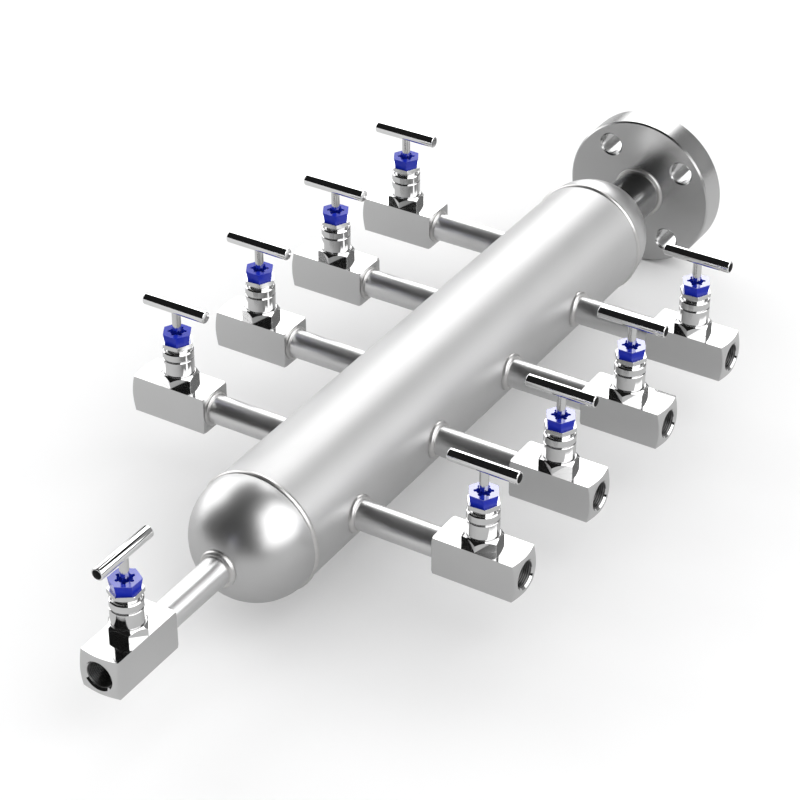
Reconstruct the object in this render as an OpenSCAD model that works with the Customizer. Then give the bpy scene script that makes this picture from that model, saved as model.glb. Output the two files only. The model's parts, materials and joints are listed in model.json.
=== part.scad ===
// Welded pipe header with one flanged inlet, eight needle valve outlets and a drain valve.
// Millimetres, Z up. The origin is the centre of the inlet flange's raised face,
// the header runs away from it along -Y and its branches point along +X and -X.

/* [Header shell] */
// Outside diameter of the shell pipe, 4 inch nominal
shell_od = 114.3; // [100:0.1:141.3]
// Wall of the shell and its end caps
shell_wall = 6; // [4:0.1:8]
// Distance between the middles of the two girth welds
shell_len = 577; // [560:1:900]
// Straight length of an end cap before its dome starts
cap_tangent = 3; // [2:0.5:20]

/* [Inlet] */
// Outside diameter of the inlet nozzle pipe, 1-1/2 inch nominal
nozzle_od = 48.3; // [42.2:0.1:50]
// Bore of the inlet nozzle and of the flange
nozzle_id = 38.1; // [30:0.1:40]
// Clear distance from the top of the rear dome to the back of the flange
nozzle_show = 51; // [35:1:120]
// Outside diameter of the flange
flange_od = 156; // [152:1:180]
// Thickness of the flange disc
flange_t = 31; // [20:1:40]
// Diameter of the circle through the bolt holes
bolt_circle = 114.3; // [108:0.1:120]
// Diameter of each bolt hole
bolt_hole = 22.2; // [14:0.1:24]
// Number of bolt holes
bolt_count = 4; // [4:4:8]
// Turn of the bolt pattern away from straddling the centre line
bolt_turn = -8.5; // [-20:0.5:20]
// Diameter of the raised sealing face
face_d = 73; // [60:0.5:80]
// Height of the raised sealing face
face_h = 2; // [1:0.1:6]
// Depth of the socket that takes the nozzle in the flange
flange_socket = 12; // [8:1:14]

/* [Branches] */
// Outside diameter of the branch pipes, 3/4 inch nominal
branch_od = 26.7; // [24:0.1:28]
// Bore of the branch pipes
branch_id = 18.9; // [15:0.1:20]
// Number of valves on each side
per_side = 4; // [4:1:4]
// Distance from one valve to the next on the same side
pitch = 129.2; // [110:0.1:160]
// Distance from the front girth weld to the first right branch
first_branch = 65; // [35:1:80]
// How far the left branches are set behind the right ones
stagger = 67.5; // [55:0.5:75]
// Distance from the header axis to the inner end of a valve block
branch_reach = 138.5; // [110:0.5:200]
// Distance from the front girth weld to the inner end of the drain valve block
drain_reach = 141; // [110:0.5:220]

/* [Welds] */
// Leg of the fillet round each pipe
fillet_leg = 5; // [3:0.5:6]
// Width of the bead over each girth joint
bead_w = 7; // [5:0.5:9]
// Height of the bead over each girth joint
bead_h = 1.5; // [0.8:0.1:2]
// Root gap between the pieces of a girth joint
root_gap = 2; // [1:0.5:3]

/* [Valve block] */
// Side of the square bar that the block is cut from
bar_w = 36; // [34:0.5:42]
// Length of the block along the flow
block_len = 79; // [76:1:100]
// Distance from the inner end of the block to the stem axis
stem_at = 38; // [36:0.5:42]
// Bore of the 3/4 inch pipe thread in the outlet
port_d = 24.2; // [22:0.1:25]
// Depth of the outlet thread
port_depth = 20; // [15:0.5:22]
// Width of the chamfer at the outlet mouth
port_chamfer = 1.6; // [1:0.1:2]
// Radius of the flat part of the crowned outlet end
crown_r = 15.5; // [15:0.5:17]
// Rise of the crown for each millimetre of radius
crown_slope = 0.32; // [0.1:0.01:0.5]
// Depth of the socket that takes the branch pipe
pipe_socket = 10; // [7:0.5:11]
// Diameter of the seat orifice
orifice_d = 5; // [4:0.1:5.5]
// Diameter of the drilled flow passages
passage_d = 6; // [5:0.1:6]

/* [Bonnet] */
// Width across the flats of the bonnet hexagon
hex_af = 31; // [30:0.5:32]
// Height of the bonnet hexagon
hex_h = 9.7; // [8:0.1:12]
// Direction of one corner of the bonnet hexagon, measured from the flow
hex_turn = 37.7; // [0:0.1:60]
// Diameter of the round bonnet body
barrel_d = 28; // [26:0.5:28.5]
// Height of the lower bonnet barrel
barrel_h = 14; // [10:0.1:18]
// Height of the upper bonnet ring
ring_h = 7.6; // [6:0.1:10]
// Height of the turned groove under each bonnet ring
groove_h = 1; // [0.6:0.1:1.5]
// Depth of the turned grooves
groove_deep = 1.4; // [0.8:0.1:2]
// Diameter of the bonnet thread in the block
bonnet_thread = 22; // [20:0.5:24]
// Diameter of the gland thread at the top of the bonnet
gland_thread = 21; // [19:0.5:22]
// Open height of gland thread between bonnet and gland nut
gland_gap = 3.9; // [2:0.1:5]
// Height of the gland nut
nut_h = 4.3; // [4:0.1:9]
// Width across the flats of the gland nut
nut_af = 26; // [24.5:0.5:27]
// Direction of one corner of the gland nut, measured from the flow
nut_turn = 5; // [0:1:60]
// Diameter of the packing chamber
packing_d = 15; // [14:0.1:16]

/* [Dust cap] */
// Width across the flats of the dust cap at its rim
cap_af = 24; // [22.5:0.5:25]
// Width across the flats of the dust cap at its foot
cap_foot = 21.4; // [19:0.1:22]
// Height of the dust cap
cap_h = 9.3; // [8.5:0.1:12]
// Height of the sides of the dust cap at its corners
cap_side = 6.4; // [5:0.1:7]
// Number of notches in the rim of the dust cap
cap_notches = 6; // [3:1:8]

/* [Stem] */
// Diameter of the polished spindle
spindle_d = 8; // [7:0.1:8.5]
// Diameter of the spindle thread
thread_d = 10; // [9.5:0.1:11]
// Lift of the spindle when the valve is fully open
lift = 6; // [3:0.5:6]
// Clear spindle between the dust cap and the handle bar
spindle_show = 18.5; // [14:0.5:30]
// Diameter of the handle bar
handle_d = 11; // [10:0.1:14]
// Length of the handle bar
handle_len = 65.4; // [50:0.1:90]
// Chamfer at the ends of the handle bar
handle_chamfer = 1.2; // [0.4:0.1:2]

/* [Fits] */
// Radial clearance of a running fit
run_fit = 0.1; // [0.05:0.01:0.1]
// Radial clearance of parts that are welded or screwed together
fixed_fit = 0.1; // [0.05:0.01:0.15]
// Gap kept between parts that move past or rest near each other
clear = 0.3; // [0.2:0.05:0.4]

/* [Hidden] */
$fn = 64;
over = 1;
names = [for (s = ["right", "left"]) for (i = [1:per_side]) str(s, "_", i)];
VALVES = concat(names, ["drain"]);
PIECES = ["valve_block", "bonnet", "spindle", "handle", "needle"];
HEADER = ["shell", "front_cap", "rear_cap", "girth_welds", "fillet_welds", "inlet_nozzle", "flange",
          "right_nipples", "left_nipples", "drain_nipple"];
TRIM = ["bonnet_seals", "packing_rings", "glands", "gland_nuts", "dust_caps"];

// Stations along the header axis, measured from the raised face
shell_r = shell_od / 2;
shell_ir = shell_r - shell_wall;
flange_back = -(face_h + flange_t);
rear_top = flange_back - nozzle_show;
rear_weld = rear_top - shell_r - cap_tangent - root_gap / 2;
front_weld = rear_weld - shell_len;
front_top = front_weld - root_gap / 2 - cap_tangent - shell_r;
drain_end = front_weld - drain_reach;
right_y = [for (i = [0:per_side - 1]) front_weld + first_branch + i * pitch];
left_y = [for (y = right_y) y + stagger];

// Place and turn of each valve: its own X is the flow towards the outlet, its origin is on the stem axis
PLACES = concat([for (y = right_y) [branch_reach + stem_at, y, 0]],
                [for (y = left_y) [-branch_reach - stem_at, y, 180]],
                [[0, drain_end - stem_at, -90]]);

// Levels up the stem, measured from the flow axis
block_top = bar_w / 2;
seat_z = 0;
chamber_top = 6.5;
chamber_r = 7;
inlet_z = seat_z - 6;
outlet_z = seat_z + 3.3;
hex_top = block_top + hex_h;
barrel_z = hex_top + groove_h;
barrel_top = barrel_z + barrel_h;
ring_z = barrel_top + groove_h;
ring_top = ring_z + ring_h;
nut_z = ring_top + gland_gap;
nut_top = nut_z + nut_h;
nut_roof = 1.5;
gland_top = nut_top - nut_roof;
neck_top = gland_top - 0.5;
packing_h = 9;
gland_z = ring_top + 2;
packing_z = gland_z - packing_h;
backseat_z = packing_z - 2.5;
cap_top = nut_top + cap_h;
handle_z = cap_top + spindle_show + handle_d / 2;
seal_h = 1.5;
seal_z = chamber_top;
bonnet_z = seal_z + seal_h;

// Radii of the stem parts
spindle_r = spindle_d / 2;
thread_r = thread_d / 2;
shoulder_z = backseat_z - lift - 0.5;
swivel_r = 2.5;
swivel_h = 4;
needle_top = 14;
needle_tip = -3.5;
tip_r = 1.2;
barrel_r = barrel_d / 2;
spindle_top = handle_z + handle_d / 2 - 2;

// How far the pipes reach past the inside of a cap, and how far a coped fillet starts inside the steel
reach_in = 4;
sink = 0.6;
// Gap left between a pipe's end and the bottom of its socket in the block
socket_gap = 1.5;
// Shape of a fillet's face, as shares of its leg
fillet_out = 0.62;
fillet_up = 0.42;
// Height of a girth bead half way down its side
bead_side = bead_h * 0.7;
// Leg of the smaller fillets on flat faces
face_leg = fillet_leg * 0.7;

module rod_x(r, x0, x1) translate([x0, 0, 0]) rotate([0, 90, 0]) cylinder(h = x1 - x0, r = r);
module rod_y(r, y0, y1) translate([0, y1, 0]) rotate([90, 0, 0]) cylinder(h = y1 - y0, r = r);
module rod_z(r, z0, z1) translate([0, 0, z0]) cylinder(h = z1 - z0, r = r);
module at_valve(k) translate([PLACES[k][0], PLACES[k][1], 0]) rotate([0, 0, PLACES[k][2]]) children();
module each_valve() for (k = [0:len(VALVES) - 1]) at_valve(k) children();

// Hexagon prism with its corners turned back to a cone at both ends, at 30 and at 45 degrees
module hex_bar(af, turn, z0, z1, low, high) {
    r = af / sqrt(3);
    intersection() {
        translate([0, 0, z0]) rotate([0, 0, turn]) cylinder(h = z1 - z0, r = r, $fn = 6);
        rotate_extrude() polygon([[0, z0], [r - low, z0], [r + over, z0 + (low + over) * tan(30)],
            [r + over, z1 - high - over], [r - high, z1], [0, z1]]);
    }
}

// Ring whose section is a right triangle with its foot on the plane z = 0
module fillet(r, leg) rotate_extrude() polygon([[r + fixed_fit / 2, -leg], [r + leg, -leg], [r + leg, 0],
    [r + leg * fillet_out, leg * fillet_up], [r + fixed_fit / 2, leg]]);

// Header pieces
module shell() {
    color([0.78, 0.78, 0.79]) difference() {
        rod_y(shell_r, front_weld + root_gap / 2, rear_weld - root_gap / 2);
        rod_y(shell_ir, front_weld, rear_weld);
        for (y = right_y) translate([0, y, 0]) rod_x(branch_od / 2 + fixed_fit, 0, shell_r + over);
        for (y = left_y) translate([0, y, 0]) rod_x(branch_od / 2 + fixed_fit, -shell_r - over, 0);
    }
}

// Domed cap in its own frame: the rim on z = 0, the dome towards +Z
module dome(hole_r) difference() {
    union() {
        rod_z(shell_r, 0, cap_tangent);
        translate([0, 0, cap_tangent]) sphere(r = shell_r, $fn = 96);
    }
    rod_z(shell_ir, -over, cap_tangent);
    translate([0, 0, cap_tangent]) sphere(r = shell_ir, $fn = 96);
    rod_z(shell_r + over, -shell_od, 0);
    rod_z(hole_r, 0, shell_od);
}

module front_cap() {
    color([0.8, 0.8, 0.81]) translate([0, front_weld - root_gap / 2, 0]) rotate([90, 0, 0])
        dome(branch_od / 2 + fixed_fit);
}

module rear_cap() {
    color([0.8, 0.8, 0.81]) translate([0, rear_weld + root_gap / 2, 0]) rotate([-90, 0, 0])
        dome(nozzle_od / 2 + fixed_fit);
}

// Bead in its own frame, standing across z = 0
module girth_bead() rotate_extrude() polygon([[shell_ir, -root_gap / 2], [shell_r, -root_gap / 2],
    [shell_r, -bead_w / 2], [shell_r + bead_side, -bead_w / 4], [shell_r + bead_h, 0],
    [shell_r + bead_side, bead_w / 4],
    [shell_r, bead_w / 2], [shell_r, root_gap / 2], [shell_ir, root_gap / 2]]);

module girth_welds() {
    color([0.86, 0.86, 0.87]) for (y = [front_weld, rear_weld]) translate([0, y, 0])
        rotate([90, 0, 0]) girth_bead();
}

// Fillet round a branch pipe where it leaves the round shell, coped to the shell
module branch_fillet() difference() {
    translate([shell_r - sink, 0, 0]) rotate([0, 90, 0]) fillet(branch_od / 2, fillet_leg);
    rod_y(shell_r, -branch_od, branch_od);
}

// Fillet round a pipe that leaves a dome, coped to the dome, in the dome's own frame
module dome_fillet(pipe_r) difference() {
    translate([0, 0, cap_tangent + sqrt(shell_r * shell_r - pipe_r * pipe_r) - sink])
        fillet(pipe_r, fillet_leg);
    translate([0, 0, cap_tangent]) sphere(r = shell_r, $fn = 96);
}

// Fillet on a flat face at z = 0
module face_fillet(pipe_r) rotate_extrude() polygon([[pipe_r + fixed_fit / 2, 0], [pipe_r + face_leg, 0],
    [pipe_r + face_leg * fillet_out, face_leg * fillet_up], [pipe_r + fixed_fit / 2, face_leg]]);

module fillet_welds() {
    color([0.9, 0.9, 0.91]) {
        for (y = right_y) translate([0, y, 0]) branch_fillet();
        for (y = left_y) translate([0, y, 0]) rotate([0, 0, 180]) branch_fillet();
        each_valve() translate([-stem_at, 0, 0]) rotate([0, -90, 0]) face_fillet(branch_od / 2);
        translate([0, front_weld - root_gap / 2, 0]) rotate([90, 0, 0]) dome_fillet(branch_od / 2);
        translate([0, rear_weld + root_gap / 2, 0]) rotate([-90, 0, 0]) dome_fillet(nozzle_od / 2);
        translate([0, flange_back, 0]) rotate([90, 0, 0]) face_fillet(nozzle_od / 2);
    }
}

module inlet_nozzle() {
    color([0.7, 0.7, 0.71]) difference() {
        rod_y(nozzle_od / 2, rear_top - shell_wall - reach_in, flange_back + flange_socket);
        rod_y(nozzle_id / 2, rear_top - shell_r, 0);
    }
}

module flange() {
    r = flange_od / 2;
    c = 1.6; // chamfer of the rim
    k = 1.5; // chamfer of the bolt holes
    step = 0.5; // slope of the raised face's edge
    color([0.63, 0.63, 0.63]) difference() {
        rotate([-90, 0, 0]) rotate_extrude() polygon([[nozzle_id / 2, flange_back], [r - c, flange_back],
            [r, flange_back + c], [r, -face_h - c], [r - c, -face_h], [face_d / 2 + step, -face_h],
            [face_d / 2, 0], [nozzle_id / 2, 0]]);
        rod_y(nozzle_od / 2 + fixed_fit, flange_back - over, flange_back + flange_socket);
        for (i = [0:bolt_count - 1]) rotate([0, -(i + 0.5) * 360 / bolt_count - bolt_turn, 0])
            translate([bolt_circle / 2, 0, 0]) {
                rod_y(bolt_hole / 2, flange_back - over, over);
                translate([0, flange_back + k, 0]) rotate([90, 0, 0])
                    cylinder(h = k + over, r1 = bolt_hole / 2, r2 = bolt_hole / 2 + k + over);
            }
    }
}

// Branch pipe of the right side in its own plane, coped flush with the inside of the shell
module nipple() difference() {
    rod_x(branch_od / 2, shell_ir * 0.9, branch_reach + pipe_socket - socket_gap);
    rod_x(branch_id / 2, 0, branch_reach + block_len);
    rod_y(shell_ir, -branch_od, branch_od);
}

module right_nipples() {
    color([0.75, 0.75, 0.76]) for (y = right_y) translate([0, y, 0]) nipple();
}

module left_nipples() {
    color([0.75, 0.75, 0.76]) for (y = left_y) translate([0, y, 0]) rotate([0, 0, 180]) nipple();
}

module drain_nipple() {
    color([0.75, 0.75, 0.76]) difference() {
        rod_y(branch_od / 2, drain_end - pipe_socket + socket_gap, front_top + shell_wall + reach_in);
        rod_y(branch_id / 2, drain_end - block_len, front_top + shell_r);
    }
}

// Valve pieces, each in the valve's own frame
module valve_block() {
    corner = bar_w * 0.72; // a little more than the radius of the bar's corners
    cut = 1.2; // depth of the turned chamfer at the inner end
    crown_h = (corner - crown_r) * crown_slope;
    x0 = -stem_at;
    x1 = block_len - stem_at;
    color([0.72, 0.72, 0.73]) difference() {
        intersection() {
            translate([x0, -bar_w / 2, -bar_w / 2]) cube([block_len, bar_w, bar_w]);
            union() {
                translate([x0, 0, 0]) rotate([0, 90, 0])
                    cylinder(h = cut, r1 = corner - 2 * cut, r2 = corner);
                rod_x(corner, x0 + cut, x1 - crown_h);
                translate([x1 - crown_h, 0, 0]) rotate([0, 90, 0])
                    cylinder(h = crown_h, r1 = corner, r2 = crown_r);
            }
        }
        rod_x(branch_od / 2 + fixed_fit, x0 - over, x0 + pipe_socket);
        rod_x(port_d / 2, x1 - port_depth, x1 + over);
        translate([x1 - port_chamfer, 0, 0]) rotate([0, 90, 0])
            cylinder(h = port_chamfer + over, r1 = port_d / 2, r2 = port_d / 2 + port_chamfer + over);
        translate([0, 0, inlet_z]) rod_x(passage_d / 2, x0, 0);
        rod_z(orifice_d / 2, inlet_z, seat_z + over);
        rod_z(chamber_r, seat_z, chamber_top + over);
        translate([0, 0, outlet_z]) rod_x(passage_d / 2, 0, x1 - port_depth + over);
        rod_z(bonnet_thread / 2, chamber_top, block_top + over);
    }
}

module bonnet() {
    g = barrel_r - groove_deep;
    c = 0.5; // chamfer of the barrel and of the ring's foot
    top = 1; // chamfer of the ring's top
    color([0.76, 0.76, 0.77]) difference() {
        union() {
            rod_z(bonnet_thread / 2 - fixed_fit, bonnet_z, block_top + over);
            hex_bar(hex_af, hex_turn, block_top, hex_top, 0.6, 3.2);
            rod_z(g, hex_top - over, ring_z + over);
            rotate_extrude() polygon([[0, barrel_z], [barrel_r - c, barrel_z], [barrel_r, barrel_z + c],
                [barrel_r, barrel_top - c], [barrel_r - c, barrel_top], [0, barrel_top]]);
            rotate_extrude() polygon([[0, ring_z], [barrel_r - c, ring_z], [barrel_r, ring_z + c],
                [barrel_r, ring_top - top], [barrel_r - top, ring_top], [0, ring_top]]);
            rod_z(gland_thread / 2, ring_top - over, neck_top);
        }
        rod_z(thread_r + run_fit, bonnet_z - over, backseat_z);
        rod_z(spindle_r + run_fit, backseat_z - over, packing_z + over);
        rod_z(packing_d / 2, packing_z, neck_top + over);
    }
}

module seal() difference() {
    rod_z(bonnet_thread / 2 - fixed_fit, seal_z, bonnet_z);
    rod_z(chamber_r, seal_z - over, bonnet_z + over);
}

module bonnet_seals() color([0.85, 0.85, 0.82]) each_valve() seal();

module packing_rings() {
    color([0.92, 0.92, 0.9]) each_valve() difference() {
        rod_z(packing_d / 2 - fixed_fit, packing_z, gland_z);
        rod_z(spindle_r + run_fit, packing_z - over, gland_z + over);
    }
}

module glands() {
    color([0.7, 0.7, 0.71]) each_valve() difference() {
        rod_z(packing_d / 2 - fixed_fit, gland_z, gland_top);
        rod_z(spindle_r + run_fit, gland_z - over, gland_top + over);
    }
}

module gland_nuts() {
    color([0.76, 0.76, 0.77]) each_valve() difference() {
        hex_bar(nut_af, nut_turn, nut_z, nut_top, 1.6, 0.6);
        rod_z(gland_thread / 2 + fixed_fit, nut_z - over, gland_top);
        rod_z(spindle_r + clear, gland_top - over, nut_top + over);
    }
}

// One pair of the dust cap's sides, which lean outwards
module cap_sides(turn) {
    high = cap_foot / 2 + (cap_af - cap_foot) / 2 * cap_h / cap_side;
    rotate([0, 0, turn]) rotate([90, 0, 0]) translate([0, 0, -cap_af]) linear_extrude(2 * cap_af)
        polygon([[-cap_foot / 2, 0], [cap_foot / 2, 0], [high, cap_h], [-high, cap_h]]);
}

// Moulded cap: tapered sides, a top that slopes out and down from the mouth, and a lobed recess
module dust_caps() {
    rim_r = cap_af / sqrt(3);
    wide = rim_r + 1;
    mouth = 7.6;
    slope = (cap_h - cap_side) / (rim_r - mouth);
    deep = 4;
    lobe_deep = 3;
    color([0.1, 0.2, 0.75]) each_valve() translate([0, 0, nut_top]) difference() {
        intersection() {
            cap_sides(30);
            cap_sides(90);
            cap_sides(150);
            rotate_extrude() polygon([[0, 0], [wide, 0], [wide, cap_side - (wide - rim_r) * slope],
                [mouth, cap_h], [0, cap_h]]);
        }
        rod_z(spindle_r + clear, -over, cap_h + over);
        translate([0, 0, cap_h - deep]) cylinder(h = deep + over, r1 = 5.6, r2 = 6.6);
        for (i = [0:cap_notches - 1]) rotate([0, 0, (i + 0.5) * 360 / cap_notches])
            translate([6.8, 0, 0]) rod_z(1.7, cap_h - lobe_deep, cap_h + over);
    }
}

module spindle() {
    color([0.74, 0.74, 0.75]) difference() {
        rotate_extrude() polygon([[0, needle_top + clear], [thread_r - 0.8, needle_top + clear],
            [thread_r, needle_top + clear + 0.8], [thread_r, shoulder_z - 1], [spindle_r, shoulder_z],
            [spindle_r, spindle_top], [0, spindle_top]]);
        rod_z(swivel_r + run_fit, needle_top, needle_top + swivel_h + 2 * clear);
    }
}

module handle() {
    h = handle_len / 2;
    r = handle_d / 2;
    c = handle_chamfer;
    color([0.85, 0.85, 0.86]) difference() {
        translate([0, 0, handle_z]) rotate([0, 90, 0])
            rotate_extrude() polygon([[0, -h], [r - c, -h], [r, -h + c], [r, h - c], [r - c, h], [0, h]]);
        rod_z(spindle_r + fixed_fit, handle_z - handle_d, spindle_top + clear);
    }
}

// Needle that only slides: its head runs in the bonnet bore and its cone closes the orifice
module needle() {
    seat_r = orifice_d / 2 - clear / 2;
    color([0.72, 0.72, 0.73]) rotate_extrude() polygon([[0, needle_tip], [tip_r, needle_tip], [seat_r, seat_z],
        [thread_r - 0.6, seat_z + 5], [thread_r, seat_z + 6.5], [thread_r, needle_top], [swivel_r, needle_top],
        [swivel_r, needle_top + swivel_h], [0, needle_top + swivel_h]]);
}

shell();
front_cap();
rear_cap();
girth_welds();
fillet_welds();
inlet_nozzle();
flange();
right_nipples();
left_nipples();
drain_nipple();
bonnet_seals();
packing_rings();
glands();
gland_nuts();
dust_caps();
for (k = [0:len(VALVES) - 1]) {
    at_valve(k) valve_block();
    at_valve(k) bonnet();
    at_valve(k) spindle();
    at_valve(k) handle();
    at_valve(k) needle();
}
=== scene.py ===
import json
import math

import bmesh
import bpy
from mathutils import Matrix, Vector

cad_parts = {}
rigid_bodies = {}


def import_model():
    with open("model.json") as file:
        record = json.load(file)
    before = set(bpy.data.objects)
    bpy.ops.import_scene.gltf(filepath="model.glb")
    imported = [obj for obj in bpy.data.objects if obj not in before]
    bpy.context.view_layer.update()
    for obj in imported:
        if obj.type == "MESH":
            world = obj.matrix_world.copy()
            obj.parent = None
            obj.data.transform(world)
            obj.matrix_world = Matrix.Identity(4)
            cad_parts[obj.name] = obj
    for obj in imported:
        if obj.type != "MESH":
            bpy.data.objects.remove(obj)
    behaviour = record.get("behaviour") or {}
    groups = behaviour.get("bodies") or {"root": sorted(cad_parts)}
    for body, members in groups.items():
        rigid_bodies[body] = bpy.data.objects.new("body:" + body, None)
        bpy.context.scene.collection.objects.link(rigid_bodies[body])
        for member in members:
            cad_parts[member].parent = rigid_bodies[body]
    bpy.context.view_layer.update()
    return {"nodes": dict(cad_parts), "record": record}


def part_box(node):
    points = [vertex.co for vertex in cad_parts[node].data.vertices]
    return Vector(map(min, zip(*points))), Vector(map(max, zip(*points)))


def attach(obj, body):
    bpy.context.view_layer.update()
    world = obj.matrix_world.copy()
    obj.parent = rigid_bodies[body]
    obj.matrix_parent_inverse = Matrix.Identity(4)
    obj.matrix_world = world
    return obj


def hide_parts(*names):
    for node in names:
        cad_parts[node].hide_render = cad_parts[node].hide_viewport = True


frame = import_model()
nodes = frame["nodes"]
sides = ["right", "left"]
valves = [f"{s}_{i}" for s in sides for i in range(1, 5)] + ["drain"]
turnOf = {"right": 0.0, "left": math.pi, "drain": -math.pi / 2}  # direction of each group's flow
mm = 0.001


def middle(node):
    low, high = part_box(node)
    return (low + high) / 2


def placeOf(valve):  # from a valve's own frame, on its stem axis and along its flow, to the frame of the object
    c = middle(f"{valve}_spindle")
    return Matrix.Translation((c.x, c.y, 0)) @ Matrix.Rotation(turnOf[valve.split("_")[0]], 4, "Z")


places = {v: placeOf(v) for v in valves}
print("frame loaded:", len(nodes), "nodes")


# Shader helpers

class Sock:
    def __init__(self, tree, out):
        self.tree, self.out = tree, out

    def maths(self, kind, a, b=0.0):
        n = self.tree.nodes.new("ShaderNodeMath")
        n.operation = kind
        for i, v in enumerate((a, b)):
            if isinstance(v, Sock):
                self.tree.links.new(v.out, n.inputs[i])
            else:
                n.inputs[i].default_value = v
        return Sock(self.tree, n.outputs[0])

    def __add__(self, o): return self.maths("ADD", self, o)
    def __radd__(self, o): return self.maths("ADD", o, self)
    def __sub__(self, o): return self.maths("SUBTRACT", self, o)
    def __rsub__(self, o): return self.maths("SUBTRACT", o, self)
    def __mul__(self, o): return self.maths("MULTIPLY", self, o)
    def __rmul__(self, o): return self.maths("MULTIPLY", o, self)
    def __truediv__(self, o): return self.maths("DIVIDE", self, o)
    def __pow__(self, o): return self.maths("POWER", self, o)
    def sin(self): return self.maths("SINE", self)
    def abs(self): return self.maths("ABSOLUTE", self)
    def arcSine(self): return self.maths("ARCSINE", self)
    def around(self, o): return self.maths("ARCTAN2", self, o)


class Shading:
    def __init__(self, tree):
        self.tree = tree

    def set(self, n, values):
        for key, v in values.items():
            name = key.replace("_", " ")
            sock = n.inputs[name] if name in n.inputs else n.inputs[int(key[1:])]
            if isinstance(v, Sock):
                self.tree.links.new(v.out, sock)
            else:
                sock.default_value = v

    def node(self, kind, settings=None, **values):
        n = self.tree.nodes.new("ShaderNode" + kind)
        for key, v in (settings or {}).items():
            if key == "stops":
                ramp = n.color_ramp
                for i, (p, c) in enumerate(v):
                    e = ramp.elements[i] if i < len(ramp.elements) else ramp.elements.new(p)
                    e.position, e.color = p, c
            else:
                setattr(n, key, v)
        self.set(n, values)
        found = {o.name: Sock(self.tree, o) for o in n.outputs}
        found.update((i, Sock(self.tree, o)) for i, o in enumerate(n.outputs))
        return found

    def range(self, v, a, b, smooth=True):  # 0 at a, 1 at b
        kind = {"interpolation_type": "SMOOTHSTEP" if smooth else "LINEAR"}
        return self.node("MapRange", kind, i0=v, i1=a, i2=b)["Result"]


class Finish(Shading):
    def __init__(self, name, **fixed):
        self.mat = bpy.data.materials.new(name)
        self.mat.use_nodes = True
        super().__init__(self.mat.node_tree)
        self.shader = self.tree.nodes["Principled BSDF"]
        self.set(self.shader, fixed)
        self.at = self.node("TexCoord")["Object"]

    def spread(self, sx, sy, sz, move=(0, 0, 0)):  # object coordinates stretched along the axes
        return self.node("Mapping", Vector=self.at, Scale=(sx, sy, sz), Location=move)["Vector"]

    def noise(self, scale, detail=2.0, rough=0.5, where=None):
        out = self.node("TexNoise", Vector=where or self.at, Scale=scale, Detail=detail, Roughness=rough)
        return out["Fac"] if "Fac" in out else out["Factor"]

    def parts(self):
        return self.node("SeparateXYZ", Vector=self.at)

    def blend(self, factor, a, b):
        return self.node("Mix", {"data_type": "RGBA"}, i0=factor, i6=a, i7=b)[2]

    def bump(self, height, strength, distance):
        return self.node("Bump", Strength=strength, Distance=distance, Height=height)["Normal"]

    def use(self, **sockets):
        self.set(self.shader, sockets)
        return self.mat


def grey(v, warm=0.0):
    return (v * (1 + warm), v, v * (1 - warm), 1)


# Finishes of the steel and the plastic

shellEnds = [v.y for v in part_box("shell")]
shellMiddle, shellHalf = sum(shellEnds) / 2, (shellEnds[1] - shellEnds[0]) / 2

# The nozzle's darker tone is painted shade, for the shade it takes between the rear dome and the flange.
steelLook = {"shellRough": 0.49, "domeRough": 0.38, "pipeRough": 0.34, "nozzleRough": 0.2, "flangeRough": 0.24,
             "blockRough": 0.07, "turnedRough": 0.07, "chromeRough": 0.05, "weldRough": 0.38, "tappedRough": 0.3,
             "pipeTone": 0.76, "nozzleShadeTone": 0.46, "domeBlend": 0.012}
capLook = {"bodyIor": 1.25, "coatIor": 2.8, "coatRough": 0.1, "rough": 0.2, "leastCoat": 0.03,
           "topFrom": 0.8, "topTo": 0.3, "dullX": -0.06, "glossyX": 0.06}


def satinShell():  # ground along its length, the pressed domes smoother than the pipe
    f = Finish("satinShell", Metallic=1.0)
    cloud = f.noise(9.0, 3.0)
    grain = f.noise(900.0, 2.0, 0.6, f.spread(1, 0.05, 1))
    tone = f.blend(cloud, grey(0.6), grey(0.68))
    onPipe = f.range((f.parts()["Y"] - shellMiddle).abs(), shellHalf + steelLook["domeBlend"], shellHalf)
    base = steelLook["domeRough"] + onPipe * (steelLook["shellRough"] - steelLook["domeRough"])
    rough = base + (cloud - 0.5) * 0.1 + (grain - 0.5) * 0.08
    return f.use(Base_Color=tone, Roughness=rough, Normal=f.bump(grain, 0.12, 0.0002))


def drawnPipe(name, base, tone):
    f = Finish(name, Metallic=1.0)
    cloud = f.noise(30.0, 2.0)
    grain = f.noise(1200.0, 2.0)
    tone = f.blend(cloud, grey(tone), grey(tone + 0.08))  # lighter in clouds
    rough = base + (cloud - 0.5) * 0.08 + (grain - 0.5) * 0.05
    return f.use(Base_Color=tone, Roughness=rough, Normal=f.bump(grain, 0.08, 0.0001))


def machinedFlange():
    f = Finish("machinedFlange", Metallic=1.0)
    p = f.parts()
    r = (p["X"] * p["X"] + p["Z"] * p["Z"]) ** 0.5
    rings = (r * 6000.0).sin() * 0.5 + f.noise(60.0, 2.0)
    cloud = f.noise(18.0, 3.0)
    tone = f.blend(cloud, grey(0.55), grey(0.62))
    rough = steelLook["flangeRough"] + (cloud - 0.5) * 0.12
    return f.use(Base_Color=tone, Roughness=rough, Normal=f.bump(rings, 0.1, 0.0001))


def polishedBlock():
    f = Finish("polishedBlock", Metallic=1.0)
    cloud = f.noise(25.0, 2.0)
    lap = f.noise(700.0, 2.0, 0.6, f.spread(1, 1, 0.1))
    tone = f.blend(cloud, grey(0.66), grey(0.7))
    rough = steelLook["blockRough"] + (cloud - 0.5) * 0.05 + (lap - 0.5) * 0.04
    return f.use(Base_Color=tone, Roughness=rough, Normal=f.bump(lap, 0.04, 0.0001))


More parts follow.
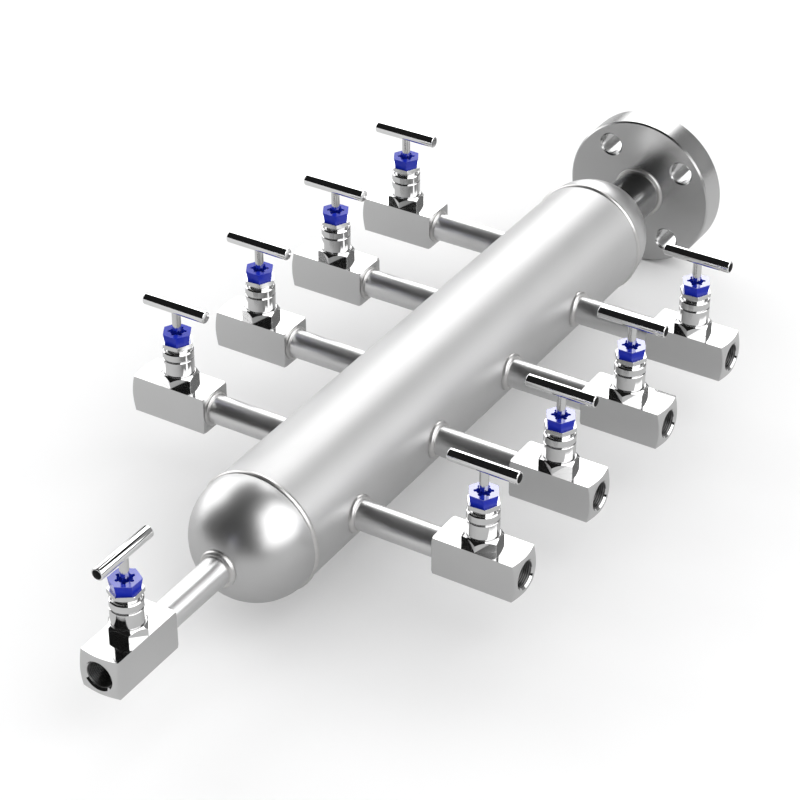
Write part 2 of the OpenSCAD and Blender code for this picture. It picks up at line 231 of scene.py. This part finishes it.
def turnedSteel():
    f = Finish("turnedSteel", Metallic=1.0)
    p = f.parts()
    rings = (p["Z"] * 9000.0).sin()
    cloud = f.noise(90.0, 2.0)
    tone = f.blend(cloud, grey(0.7), grey(0.76))
    rough = steelLook["turnedRough"] + (cloud - 0.5) * 0.05
    return f.use(Base_Color=tone, Roughness=rough, Normal=f.bump(rings, 0.06, 0.00005))


def tappedSteel():  # the flanks of a tapped hole, coloured much darker than the other steel
    f = Finish("tappedSteel", Metallic=1.0)
    cloud = f.noise(300.0, 2.0)
    rough = steelLook["tappedRough"] + (cloud - 0.5) * 0.1
    return f.use(Base_Color=f.blend(cloud, grey(0.16), grey(0.26)), Roughness=rough)


def brightChrome():
    f = Finish("brightChrome", Metallic=1.0)
    haze = f.noise(160.0, 3.0)
    tone = f.blend(haze, grey(0.88), grey(0.93))
    return f.use(Base_Color=tone, Roughness=steelLook["chromeRough"] + (haze - 0.5) * 0.04)


def weldMetal():
    f = Finish("weldMetal", Metallic=1.0)
    heat = f.noise(220.0, 3.0)
    tone = f.blend(heat, grey(0.62), grey(0.72, 0.02))
    rough = steelLook["weldRough"] + (heat - 0.5) * 0.12
    return f.use(Base_Color=tone, Roughness=rough, Normal=f.bump(heat, 0.15, 0.0002))


def blueCap():  # the coat lies on the flat tops and grows towards the right-hand row
    f = Finish("blueCap", IOR=capLook["bodyIor"], Coat_IOR=capLook["coatIor"], Coat_Roughness=capLook["coatRough"])
    p = f.parts()
    cloud = f.noise(120.0, 2.0)
    tone = f.blend(cloud, (0.008, 0.02, 0.42, 1), (0.015, 0.035, 0.52, 1))
    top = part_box("dust_caps")[1].z
    onTop = f.range(p["Z"], top - capLook["topFrom"] * mm, top - capLook["topTo"] * mm)
    gloss = f.range(p["X"], capLook["dullX"], capLook["glossyX"], smooth=False)
    rough = capLook["rough"] + (cloud - 0.5) * 0.08
    coat = capLook["leastCoat"] + (1 - capLook["leastCoat"]) * onTop * gloss
    return f.use(Base_Color=tone, Roughness=rough, Coat_Weight=coat, Normal=f.bump(f.noise(900.0), 0.04, 0.0001))


def waxyRing():
    f = Finish("waxyRing")
    cloud = f.noise(200.0, 2.0)
    return f.use(Base_Color=f.blend(cloud, grey(0.8), grey(0.88)), Roughness=0.45 + (cloud - 0.5) * 0.1)


branchPipe = drawnPipe("drawnPipe", steelLook["pipeRough"], steelLook["pipeTone"])
finishes = {"shell_steel": satinShell(), "pipe_steel": branchPipe, "flange_steel": machinedFlange(),
            "block_steel": polishedBlock(), "turned_steel": turnedSteel(), "handle_chrome": brightChrome(),
            "weld": weldMetal(), "blue_cap": blueCap(), "ptfe": waxyRing()}
slotOf = {s["node"]: s["material_slot"] for s in frame["record"]["subparts"]}
print("finishes made")


# Shared mesh work

def addPiece(name, mesh, body, slot, replaced=()):
    o = bpy.data.objects.new(name, mesh)
    bpy.context.scene.collection.objects.link(o)
    if not mesh.materials:
        mesh.materials.append(finishes[slot])
    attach(o, body)
    if replaced:
        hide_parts(*replaced)
    return o


edge = {"merge": 0.002, "flat": 0.6, "corner": 25.0, "alike": 0.64,  # mm, degrees, degrees, a cosine
        "rimWidth": 4.0, "rimFlat": 0.01, "rimEven": 0.02, "rimCuts": 3}


def rounder(bm, axes):  # divides the rims round each axis along Y and lays the new points on them
    for x, z in axes:
        away = {v: math.hypot(v.co.x - x, v.co.z - z) for v in bm.verts}
        far = min(away.values()) + edge["rimWidth"] * mm
        rim = [e for e in bm.edges if all(away[v] < far for v in e.verts) and
               abs(e.verts[0].co.y - e.verts[1].co.y) < edge["rimFlat"] * mm and
               abs(away[e.verts[0]] - away[e.verts[1]]) < edge["rimEven"] * mm]
        radius = {round(v.co.y, 6): away[v] for v in {v for e in rim for v in e.verts}}
        made = bmesh.ops.subdivide_edges(bm, edges=rim, cuts=edge["rimCuts"])
        for v in made["geom_inner"]:
            if isinstance(v, bmesh.types.BMVert) and round(v.co.y, 6) in radius:
                r = radius[round(v.co.y, 6)]
                d = math.hypot(v.co.x - x, v.co.z - z)
                v.co.x, v.co.z = x + (v.co.x - x) * r / d, z + (v.co.z - z) * r / d


def levelled(bm, mouth, drop):  # lifts the sloping top of each cap, outside its mouth, to one height
    top = max(v.co.z for v in bm.verts)
    for v in bm.verts:
        away = min(math.hypot(v.co.x - p.translation.x, v.co.y - p.translation.y) for p in places.values())
        if away > mouth * mm and v.co.z > top - drop * mm:
            v.co.z = top


def softened(node, width, steps, axes=(), level=None):  # a merged copy of a CAD node, its edges broken
    bm = bmesh.new()
    bm.from_mesh(nodes[node].data)
    bmesh.ops.remove_doubles(bm, verts=bm.verts, dist=edge["merge"] * mm)
    bmesh.ops.dissolve_limit(bm, angle_limit=math.radians(edge["flat"]), verts=bm.verts, edges=bm.edges)
    rounder(bm, axes)
    if level:
        levelled(bm, *level)
    corner = math.radians(edge["corner"])
    sharp = [e for e in bm.edges if len(e.link_faces) == 2 and e.calc_face_angle(0) > corner]
    bmesh.ops.bevel(bm, geom=sharp, offset=width * mm, offset_type="OFFSET", segments=steps, profile=0.5,
                    affect="EDGES", clamp_overlap=True)
    mesh = bpy.data.meshes.new(node + "_soft")
    for f in bm.faces:
        f.smooth = True
    even = []  # a normal for each face corner, led by the largest faces, so that flats stay flat
    for f in bm.faces:
        for c in f.loops:
            near = [g for g in c.vert.link_faces if g.normal.dot(f.normal) > edge["alike"]]
            even.append(sum((g.normal * g.calc_area() for g in near), Vector()).normalized())
    bm.to_mesh(mesh)
    bm.free()
    mesh.normals_split_custom_set(even)
    return mesh


for name, o in nodes.items():
    o.data.materials.clear()
    o.data.materials.append(finishes[slotOf[name]])
shadedNozzlePipe = drawnPipe("shadedNozzlePipe", steelLook["nozzleRough"], steelLook["nozzleShadeTone"])
nodes["inlet_nozzle"].data.materials[0] = shadedNozzlePipe  # coloured darker than the branches as painted shade between the dome and the flange, and smoother
print("nodes finished")


# Geometry Nodes helpers

class Grow:  # a node tree that makes a mesh, with named inputs for its sizes
    def __init__(self, name, **sizes):
        self.tree = bpy.data.node_groups.new(name, "GeometryNodeTree")
        face = self.tree.interface
        face.new_socket("Geometry", in_out="INPUT", socket_type="NodeSocketGeometry")
        self.ids = {}
        for key, v in sizes.items():
            kind = {bool: "Bool", int: "Int", float: "Float"}.get(type(v), "Material")
            item = face.new_socket(key, in_out="INPUT", socket_type="NodeSocket" + kind)
            self.ids[key] = item.identifier
        face.new_socket("Geometry", in_out="OUTPUT", socket_type="NodeSocketGeometry")
        self.sizes = sizes
        self.given = self.tree.nodes.new("NodeGroupInput")
        self.out = self.tree.nodes.new("NodeGroupOutput")

    def input(self, key):
        return Sock(self.tree, self.given.outputs[key])

    def node(self, kind, settings=None, values=None):
        n = self.tree.nodes.new(kind)
        for key, v in (settings or {}).items():
            setattr(n, key, v)
        for key, v in (values or {}).items():
            if isinstance(v, Sock):
                self.tree.links.new(v.out, n.inputs[key])
            else:
                n.inputs[key].default_value = v
        return Sock(self.tree, n.outputs[0])

    def end(self, geometry):
        real = self.node("GeometryNodeRealizeInstances", values={0: geometry})
        done = self.node("GeometryNodeSetMaterial", values={0: real, "Material": self.input("Material")})
        self.tree.links.new(done.out, self.out.inputs[0])

    def make(self, name, source):  # the plain mesh that the tree makes of a source mesh
        o = bpy.data.objects.new(name, source)
        bpy.context.scene.collection.objects.link(o)
        m = o.modifiers.new("grow", "NODES")
        m.node_group = self.tree
        for key, v in self.sizes.items():
            m[self.ids[key]] = v
        dg = bpy.context.evaluated_depsgraph_get()
        mesh = bpy.data.meshes.new_from_object(o.evaluated_get(dg), depsgraph=dg)
        bpy.data.objects.remove(o)
        mesh.name = name
        return mesh


def pathMesh(name, rings):  # closed or open rows of points as edges only
    verts, edges = [], []
    for pts, closed in rings:
        base = len(verts)
        verts += pts
        edges += [(base + i, base + i + 1) for i in range(len(pts) - 1)]
        if closed:
            edges.append((base + len(pts) - 1, base))
    mesh = bpy.data.meshes.new(name)
    mesh.from_pydata(verts, edges, [])
    return mesh


# Weld beads: rippled rounds that follow each joint of the steel

weld = {"girthRound": 3.6, "girthSink": 2.0, "girthIn": 3.5, "branchRound": 3.6, "blockRound": 2.6,
        "ripple": 0.09, "step": 1.7, "pathStep": 0.45, "sides": 12, "points": 160, "girthPoints": 400,
        "offPipe": 0.5, "offSteel": 0.4, "offFlatPipe": 0.3, "capIn": 3.0}


def beadTree(radius, material):
    g = Grow("weldBead", Round=radius * mm, Ripple=weld["ripple"], Step=weld["step"] * mm, Material=material)
    curve = g.node("GeometryNodeMeshToCurve", values={0: Sock(g.tree, g.given.outputs[0])})
    along = g.node("GeometryNodeResampleCurve", {"mode": "LENGTH"}, {0: curve, "Length": weld["pathStep"] * mm})
    length = Sock(g.tree, g.tree.nodes.new("GeometryNodeSplineParameter").outputs["Length"])
    wave = (length / g.input("Step") * (2 * math.pi)).sin() * g.input("Ripple") + 1.0
    sized = g.node("GeometryNodeSetCurveRadius", values={0: along, "Radius": wave})
    size = {"Resolution": weld["sides"], "Radius": g.input("Round")}
    ring = g.node("GeometryNodeCurvePrimitiveCircle", values=size)
    body = g.node("GeometryNodeCurveToMesh", values={0: sized, 1: ring})
    g.end(g.node("GeometryNodeSetShadeSmooth", values={0: body}))
    return g


def ringPoints(centre, u, v, r, n=weld["points"]):
    return [Vector(centre) + (Vector(u) * math.cos(t) + Vector(v) * math.sin(t)) * r
            for t in (2 * math.pi * i / n for i in range(n))]


acrossX, acrossY, upZ = (1, 0, 0), (0, 1, 0), (0, 0, 1)
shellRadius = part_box("shell")[1].z
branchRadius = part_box("right_nipples")[1].z
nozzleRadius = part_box("inlet_nozzle")[1].z
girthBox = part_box("girth_welds")
girthYs = [girthBox[0].y + weld["girthIn"] * mm, girthBox[1].y - weld["girthIn"] * mm]
girthRadius = shellRadius - weld["girthSink"] * mm
girthRings = [(ringPoints((0, y, 0), acrossX, upZ, girthRadius, weld["girthPoints"]), True) for y in girthYs]
girthMesh = beadTree(weld["girthRound"], finishes["weld"]).make("girthBeads", pathMesh("girthPath", girthRings))
addPiece("girthBeads", girthMesh, "header", "weld", ["girth_welds"])


def saddle(x, y):  # where a branch leaves the round shell
    r = branchRadius + weld["offPipe"] * mm
    side = 1 if x > 0 else -1
    pts = []
    for i in range(weld["points"]):
        t = 2 * math.pi * i / weld["points"]
        z = r * math.sin(t)
        out = math.sqrt(shellRadius ** 2 - z * z) + weld["offSteel"] * mm
        pts.append(Vector((side * out, y + r * math.cos(t), z)))
    return pts


rings, small = [], []
flatRound = branchRadius + weld["offFlatPipe"] * mm
for v, place in places.items():
    c = place.translation
    flow = place.to_3x3() @ Vector((1, 0, 0))
    low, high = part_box(f"{v}_valve_block")
    if v != "drain":
        inner = low.x if flow.x > 0 else high.x
        rings.append((saddle(c.x, c.y), True))
        small.append((ringPoints((inner, c.y, 0), acrossY, upZ, flatRound), True))
    else:
        small.append((ringPoints((0, high.y, 0), acrossX, upZ, flatRound), True))
capIn = weld["capIn"] * mm
domes = [(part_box("front_cap")[1].y - capIn, -1, branchRadius), (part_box("rear_cap")[0].y + capIn, 1, nozzleRadius)]
for start, way, r in domes:
    r += weld["offPipe"] * mm
    y = start + way * (math.sqrt(shellRadius ** 2 - r * r) + weld["offSteel"] * mm)
    rings.append((ringPoints((0, y, 0), acrossX, upZ, r), True))
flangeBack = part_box("flange")[0].y
small.append((ringPoints((0, flangeBack, 0), acrossX, upZ, nozzleRadius + weld["offFlatPipe"] * mm), True))
bm = bmesh.new()
for size, group in ((weld["branchRound"], rings), (weld["blockRound"], small)):
    bm.from_mesh(beadTree(size, finishes["weld"]).make("beads", pathMesh("beadPath", group)))
filletMesh = bpy.data.meshes.new("filletBeads")
bm.to_mesh(filletMesh)
bm.free()
filletMesh.materials.clear()
addPiece("filletBeads", filletMesh, "header", "weld", ["fillet_welds"])
print("welds laid")


# Threads: one ridge that winds inside each port, and one round the top of each bonnet

thread = {"portRound": 12.15, "portTaper": 0.5, "portStart": 1.9, "portPitch": 1.81, "portDeep": 0.95,
          "portTurns": 9, "glandRound": 10.2, "glandStart": 6.0, "glandPitch": 1.4, "glandDeep": 0.6,
          "glandTurns": 2, "points": 64}


def helix(start, along, u, v, r0, r1, pitch, turns):  # a row of points that winds from radius r0 to r1
    n = thread["points"]
    pts = []
    for i in range(turns * n + 1):
        k = i / n
        r = r0 + (r1 - r0) * k / turns
        t = 2 * math.pi * k
        pts.append(start + along * (pitch * k) + (u * math.cos(t) + v * math.sin(t)) * r)
    return pts


def ridgeTree(deep, material):
    g = Grow("threadRidge", Deep=deep * mm, Material=material)
    curve = g.node("GeometryNodeMeshToCurve", values={0: Sock(g.tree, g.given.outputs[0])})
    ring = g.node("GeometryNodeCurvePrimitiveCircle", values={"Resolution": 4, "Radius": g.input("Deep")})
    g.end(g.node("GeometryNodeCurveToMesh", values={0: curve, 1: ring}))
    return g


ports, glands = [], []
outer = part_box("right_1_valve_block")[1].x - places["right_1"].translation.x
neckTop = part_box("right_1_bonnet")[1].z
portRound, portInner = thread["portRound"] * mm, (thread["portRound"] - thread["portTaper"]) * mm
glandRound = thread["glandRound"] * mm
for v, place in places.items():
    turn = place.to_3x3()
    flow, side, up = turn @ Vector((1, 0, 0)), turn @ Vector((0, 1, 0)), Vector((0, 0, 1))
    mouth = place.translation + flow * (outer - thread["portStart"] * mm)
    ports.append((helix(mouth, -flow, side, up, portRound, portInner, thread["portPitch"] * mm,
                        thread["portTurns"]), False))
    foot = place.translation + up * (neckTop - thread["glandStart"] * mm)
    glands.append((helix(foot, up, flow, side, glandRound, glandRound, thread["glandPitch"] * mm,
                         thread["glandTurns"]), False))
portMesh = ridgeTree(thread["portDeep"], tappedSteel()).make("portThreads", pathMesh("portPath", ports))
addPiece("portThreads", portMesh, "header", "turned_steel")
glandTree = ridgeTree(thread["glandDeep"], finishes["turned_steel"])
addPiece("glandThreads", glandTree.make("glandThreads", pathMesh("glandPath", glands)), "header", "turned_steel")
print("threads cut")


# Edges of the valves and the flange, broken as a deburred part's are

broken = {"valve_block": (0.45, 2), "bonnet": (0.25, 2), "gland_nuts": (0.3, 2), "dust_caps": (0.45, 3),
          "flange": (0.5, 2)}  # width in mm and steps
capTop = {"mouth": 7.5, "drop": 2.95}  # the drop is how far the CAD's top slopes down
boltHoles = {"radius": 57.15, "turn": -8.5, "count": 4}
for v in valves:
    for kind in ("valve_block", "bonnet"):
        node = f"{v}_{kind}"
        addPiece(f"{v}_{kind}_broken", softened(node, *broken[kind]), "header", slotOf[node], [node])
nutMesh = softened("gland_nuts", *broken["gland_nuts"])
addPiece("gland_nuts_broken", nutMesh, "header", "turned_steel", ["gland_nuts"])
capMesh = softened("dust_caps", *broken["dust_caps"], level=(capTop["mouth"], capTop["drop"]))
addPiece("dust_caps_broken", capMesh, "header", "blue_cap", ["dust_caps"])
holes = []
for i in range(boltHoles["count"]):
    t = math.radians(boltHoles["turn"] + 360 / boltHoles["count"] * (i + 0.5))
    holes.append((boltHoles["radius"] * mm * math.cos(t), boltHoles["radius"] * mm * math.sin(t)))
flangeMesh = softened("flange", *broken["flange"], axes=holes)
addPiece("flange_broken", flangeMesh, "header", "flange_steel", ["flange"])
print("edges broken")


# Bar handles with rounded ends

bar = {"crown": 0.12, "endRound": 1.0, "steps": 5, "sides": 64, "inside": 0.003, "merge": 0.001,
       "endRadius": 4.3, "endDeep": 1.0, "turnStep": 0.15, "turnSteps": 80}


def lathe(name, centre, a, b, rows):  # a closed round body from rows of (place along a, radius)
    verts, faces, n = [], [], bar["sides"]
    up = Vector((0, 0, 1))
    for x, r in rows:
        verts += [centre + a * x + (b * math.cos(t) + up * math.sin(t)) * r
                  for t in (2 * math.pi * i / n for i in range(n))]
    for k in range(len(rows) - 1):
        faces += [(k * n + i, (k + 1) * n + i, (k + 1) * n + (i + 1) % n, k * n + (i + 1) % n) for i in range(n)]
    mesh = bpy.data.meshes.new(name)
    mesh.from_pydata(verts, [], faces)
    bm = bmesh.new()
    bm.from_mesh(mesh)
    bmesh.ops.remove_doubles(bm, verts=bm.verts, dist=bar["merge"] * mm)
    bmesh.ops.recalc_face_normals(bm, faces=bm.faces)
    for f in bm.faces:
        f.smooth = True
    bm.to_mesh(mesh)
    bm.free()
    return mesh


def barFrame(node):  # middle, direction, cross direction, radius and half length of a CAD bar
    points = [v.co for v in nodes[node].data.vertices]
    centre = middle(node)
    inside = bar["inside"] * mm  # keeps the new bar within the CAD's box
    longest = max((p - centre for p in points), key=lambda d: Vector((d.x, d.y, 0)).length)
    first = math.atan2(longest.y, longest.x)
    turns = [first + math.radians(k * bar["turnStep"]) for k in range(-bar["turnSteps"], bar["turnSteps"] + 1)]

    def wide(t):  # how far the points reach from an axis at this turn
        return max(abs(math.cos(t) * (p.y - centre.y) - math.sin(t) * (p.x - centre.x)) for p in points)

    t = min(turns, key=wide)
    a, b = Vector((math.cos(t), math.sin(t), 0)), Vector((-math.sin(t), math.cos(t), 0))
    radius = max(abs((p - centre).z) for p in points) - inside
    return centre, a, b, radius, max(abs((p - centre).dot(a)) for p in points) - inside


def barMesh(node, centre, a, b, radius, half):
    flat = half - bar["crown"] * mm
    profile = [(flat, 0.0)]
    e = bar["endRound"] * mm
    for i in range(bar["steps"] + 1):
        t = math.pi / 2 * i / bar["steps"]
        profile.append((flat - e + e * math.cos(t), radius - e + e * math.sin(t)))
    profile += [(-x, r) for x, r in reversed(profile)]
    return lathe(node + "_bar", centre, a, b, profile)


def paintedReflectionEndMesh(node, centre, a, b, half):  # the faces of the two ends, coloured near black as a painted dark reflection
    flat = half - bar["crown"] * mm
    r = bar["endRadius"] * mm
    bm = bmesh.new()
    for way in (a, -a):
        rows = [(flat - bar["endDeep"] * mm, 0.0), (flat - bar["endDeep"] * mm, r), (flat, r),
                (half, r - (half - flat)), (half, 0.0)]
        bm.from_mesh(lathe("end", centre, way, b, rows))
    mesh = bpy.data.meshes.new(node + "_ends")
    bm.to_mesh(mesh)
    bm.free()
    mesh.materials.append(paintedReflectionEndFinish)
    return mesh


# Painted reflection: a near-black finish that stands in for the dark reflection in the ends of the right-hand and
# drain bars.
def paintedDarkReflectionEnd():
    f = Finish("paintedDarkReflectionEnd", Specular_IOR_Level=0.05)
    cloud = f.noise(400.0, 2.0)
    return f.use(Base_Color=f.blend(cloud, grey(0.006), grey(0.014)), Roughness=0.45 + (cloud - 0.5) * 0.1)


paintedReflectionEndFinish = paintedDarkReflectionEnd()
for v in valves:
    node = f"{v}_handle"
    centre, a, b, radius, half = barFrame(node)
    addPiece(f"{v}_handle_bar", barMesh(node, centre, a, b, radius, half), f"{v}_stem", "handle_chrome", [node])
    if not v.startswith("left"):  # the left-hand bars get no painted dark reflection on their ends
        addPiece(f"{v}_bar_painted_reflection_ends", paintedReflectionEndMesh(node, centre, a, b, half), f"{v}_stem", "handle_chrome")
print("bars turned")


# Camera, floor and light

view = {"place": (0.97812, -2.08424, 1.23718), "tilt": 56.533, "turn": 31.687, "lens": 112.34}
camData = bpy.data.cameras.new("photoCamera")
camData.lens = view["lens"]
camData.sensor_width = 36
camData.clip_end = 50
cam = bpy.data.objects.new("photoCamera", camData)
cam.location = view["place"]
cam.rotation_euler = (math.radians(view["tilt"]), 0, math.radians(view["turn"]))
bpy.context.scene.collection.objects.link(cam)
bpy.context.scene.camera = cam
bpy.context.scene.view_settings.view_transform = "Standard"

studio = {"floorZ": -0.0785, "floorHalf": 12.0, "seenTone": 0.93, "floorTone": 0.6, "boxEdge": 2.0}


def paleFloor():  # a grey floor that the camera sees as nearly white, with the object's shadow
    f = Finish("paleFloor", Roughness=0.9)
    cloud = f.noise(1.5, 2.0) * 0.02
    seen = f.node("LightPath")["Is Camera Ray"]
    tone = studio["floorTone"] + seen * (studio["seenTone"] - studio["floorTone"]) + cloud
    return f.use(Base_Color=f.node("CombineColor", i0=tone, i1=tone, i2=tone)["Color"], Specular_IOR_Level=0.0)


floorMesh = bpy.data.meshes.new("floor")
h = studio["floorHalf"]
floorMesh.from_pydata([(-h, -h, 0), (h, -h, 0), (h, h, 0), (-h, h, 0)], [], [(0, 1, 2, 3)])
floorMesh.materials.append(paleFloor())
floor = bpy.data.objects.new("floor", floorMesh)
floor.location.z = studio["floorZ"]
bpy.context.scene.collection.objects.link(floor)

# Soft boxes in the sky, in degrees: three on the left that join up towards the rear, one on the right, one high
# at the rear and a faint low one behind. Azimuth is 0 in front of the object and grows towards +X.
# The share is the part of a box's light that reaches surfaces that aren't mirrors.
boxes = {"left": {"around": (-130, -80), "up": (-6, 43), "light": 2.3, "share": 0.9},
         "leftHigh": {"around": (-144, -130), "up": (24, 43), "light": 2.3, "share": 0.5},
         "leftRear": {"around": (-166, -144), "up": (-6, 43), "light": 3.2, "share": 0.35},
         "right": {"around": (48, 136), "up": (11, 70), "light": 2.6, "share": 0.42},
         "rear": {"around": (-183, -160), "up": (26, 60), "light": 2.8, "share": 0.4},
         "behind": {"around": (136, 180), "up": (-6, 40), "light": 0.25, "share": 0.5}}
fill = {"soft": 0.7, "mirrored": 0.01}  # the even light between the boxes, and what a mirror shows there


def studioWorld():
    w = bpy.data.worlds.new("studio")
    bpy.context.scene.world = w
    w.use_nodes = True
    f = Shading(w.node_tree)
    p = f.node("SeparateXYZ", Vector=f.node("TexCoord")["Generated"])
    ahead = p["X"].around(-1.0 * p["Y"]) * (180 / math.pi)
    turned = (-1.0 * p["X"]).around(p["Y"]) * (180 / math.pi) - 180  # the same, with its seam in front
    el = p["Z"].arcSine() * (180 / math.pi)
    ray = f.node("LightPath")
    glossy = ray["Is Glossy Ray"]
    light = fill["soft"] - glossy * (fill["soft"] - fill["mirrored"])
    e = studio["boxEdge"]
    for b in boxes.values():
        az = turned if b["around"][0] < -180 else ahead
        (west, east), (low, high) = b["around"], b["up"]
        mask = f.range(az, west - e, west + e) * f.range(az, east + e, east - e) \
            * f.range(el, low - e, low + e) * f.range(el, high + e, high - e)
        light = light + mask * (glossy * (1 - b["share"]) + b["share"]) * b["light"]
    seen = ray["Is Camera Ray"]
    sky = w.node_tree.nodes["Background"]
    f.set(sky, {"Color": (1, 1, 1, 1), "Strength": seen + (1 - seen) * light})


studioWorld()
print("studio set")
